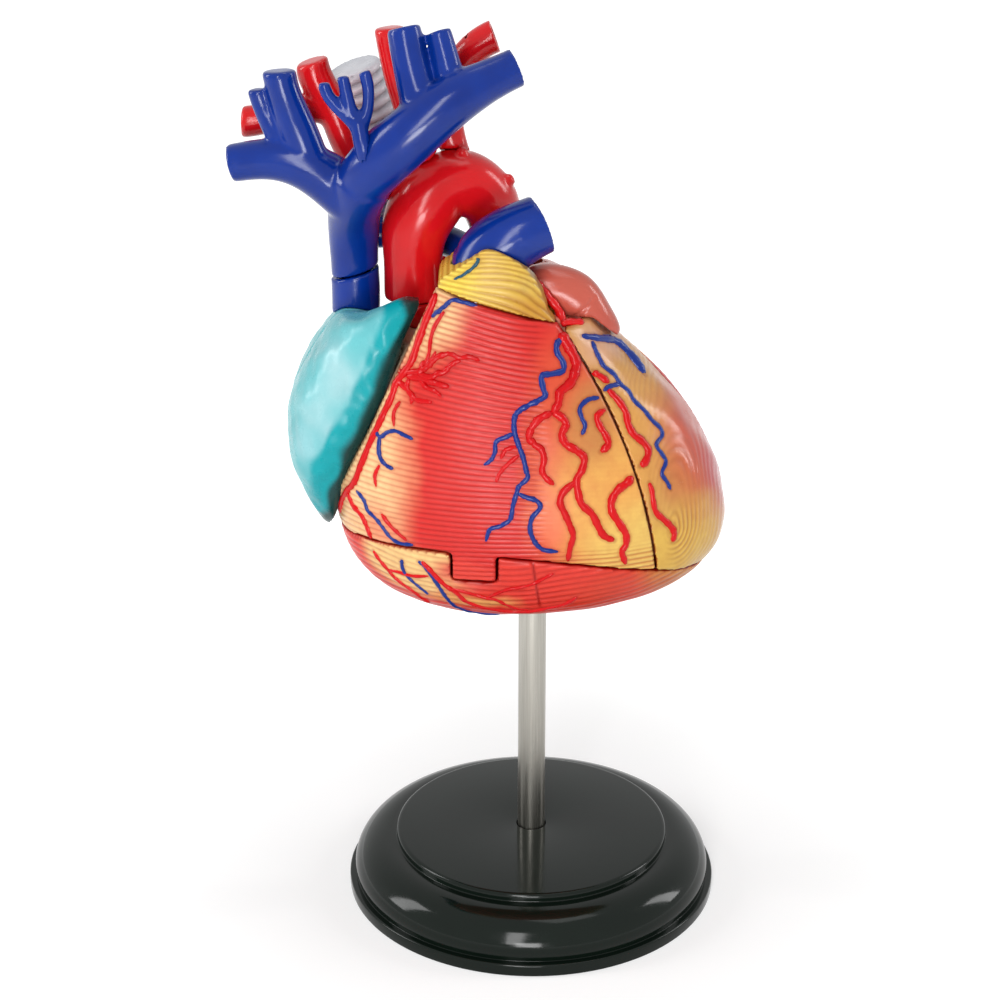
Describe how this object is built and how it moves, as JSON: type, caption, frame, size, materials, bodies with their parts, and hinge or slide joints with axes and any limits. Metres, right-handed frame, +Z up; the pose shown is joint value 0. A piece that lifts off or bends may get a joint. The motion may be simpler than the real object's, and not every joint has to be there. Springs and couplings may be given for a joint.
{
  "type": "anatomical heart model",
  "caption": "Take-apart human heart model with great vessels, painted ventricle walls, inner valves and septum, on a rod over a round black display stand.",
  "frame": {"origin": "centre of the stand's underside, where it stands on the table", "axes": "+Z up along the stand rod; the heart's front faces -Y and its left ventricle is on +X"},
  "size_m": [0.1071, 0.086, 0.2024],
  "materials": {
    "black_gloss": "moulded black plastic, polished",
    "rod_steel": "satin drawn steel tube",
    "cover_felt": "matt black",
    "muscle_red": "moulded plastic, ridged and airbrushed",
    "muscle_yellow": "moulded plastic, ridged and airbrushed",
    "muscle_inside": "moulded plastic, satin",
    "valve_cream": "soft moulded plastic",
    "fat_yellow": "moulded plastic, finely ridged",
    "auricle_coral": "glossy airbrushed plastic",
    "atrium_teal": "pearly airbrushed plastic",
    "vein_blue": "glossy plastic",
    "artery_red": "glossy plastic",
    "atrium_red": "glossy airbrushed plastic",
    "trachea_cream": "satin moulded plastic"
  },
  "bodies": {
    "stand": {"base_shell": "black_gloss", "base_bottom_cover": "cover_felt"},
    "rod": {"stand_rod": "rod_steel"},
    "lower_heart": {"lower_heart_wall": "muscle_red"},
    "core": {"interventricular_septum": "muscle_inside", "valve_ring_plate": "muscle_inside", "tricuspid_valve": "valve_cream", "mitral_valve": "valve_cream", "aortic_valve": "valve_cream", "pulmonary_valve": "valve_cream", "right_papillary_muscles": "muscle_inside", "left_papillary_muscles": "muscle_inside", "fat_collar": "fat_yellow", "right_atrium_back_shell": "atrium_teal", "superior_vena_cava_cuff": "vein_blue", "aortic_root": "artery_red", "right_pulmonary_artery": "vein_blue"},
    "front_wall": {"right_ventricle_front_wall": "muscle_red"},
    "side_wall": {"left_ventricle_side_wall": "muscle_yellow"},
    "back_wall": {"ventricle_back_wall": "muscle_red", "inferior_vena_cava": "vein_blue"},
    "atrium_front": {"right_atrium_front_shell": "atrium_teal"},
    "left_atrium": {"left_atrium_shell": "atrium_red", "left_upper_pulmonary_vein": "artery_red", "left_lower_pulmonary_vein": "artery_red", "right_upper_pulmonary_vein": "artery_red", "right_lower_pulmonary_vein": "artery_red"},
    "auricle": {"left_auricle": "auricle_coral"},
    "aorta": {"aortic_arch": "artery_red", "brachiocephalic_artery": "artery_red", "left_carotid_artery": "artery_red", "left_subclavian_artery": "artery_red"},
    "great_veins": {"vein_tree": "vein_blue", "thymic_vein": "vein_blue"},
    "trunk": {"pulmonary_trunk": "vein_blue"},
    "trachea_piece": {"trachea": "trachea_cream"}
  },
  "joints": [
    {"name": "rod_turns_in_stand", "type": "hinge", "parent": "stand", "child": "rod", "pos_m": [0, 0, 0.014], "axis": [0, 0, 1], "continuous": true},
    {"name": "heart_lifts_off_rod", "type": "slide", "parent": "rod", "child": "lower_heart", "axis": [0, 0, 1], "range_m": [0, 0.022]},
    {"name": "upper_heart_lifts_off_lower_wall", "type": "slide", "parent": "lower_heart", "child": "core", "axis": [0, 0, 1], "range_m": [0, 0.02]},
    {"name": "front_wall_pulls_off", "type": "slide", "parent": "core", "child": "front_wall", "axis": [0, -1, 0], "range_m": [0, 0.045]},
    {"name": "side_wall_pulls_off", "type": "slide", "parent": "core", "child": "side_wall", "axis": [0, -1, 0], "range_m": [0, 0.045]},
    {"name": "back_wall_pulls_off", "type": "slide", "parent": "core", "child": "back_wall", "axis": [0, 1, 0], "range_m": [0, 0.04]},
    {"name": "atrium_front_pulls_off", "type": "slide", "parent": "core", "child": "atrium_front", "axis": [0, -1, 0], "range_m": [0, 0.04]},
    {"name": "left_atrium_pulls_off", "type": "slide", "parent": "core", "child": "left_atrium", "axis": [0, 1, 0], "range_m": [0, 0.03]},
    {"name": "auricle_pulls_off", "type": "slide", "parent": "core", "child": "auricle", "axis": [1, 0, 0], "range_m": [0, 0.025]},
    {"name": "aortic_arch_lifts_off", "type": "slide", "parent": "core", "child": "aorta", "axis": [0, 0, 1], "range_m": [0, 0.012]},
    {"name": "vein_tree_lifts_off", "type": "slide", "parent": "core", "child": "great_veins", "axis": [0, -0.45, 0.893], "range_m": [0, 0.025]},
    {"name": "pulmonary_trunk_lifts_off", "type": "slide", "parent": "core", "child": "trunk", "axis": [0.123, -0.123, 0.9848], "range_m": [0, 0.015]},
    {"name": "trachea_lifts_off", "type": "slide", "parent": "core", "child": "trachea_piece", "axis": [0, 0, 1], "range_m": [0, 0.02]}
  ]
}
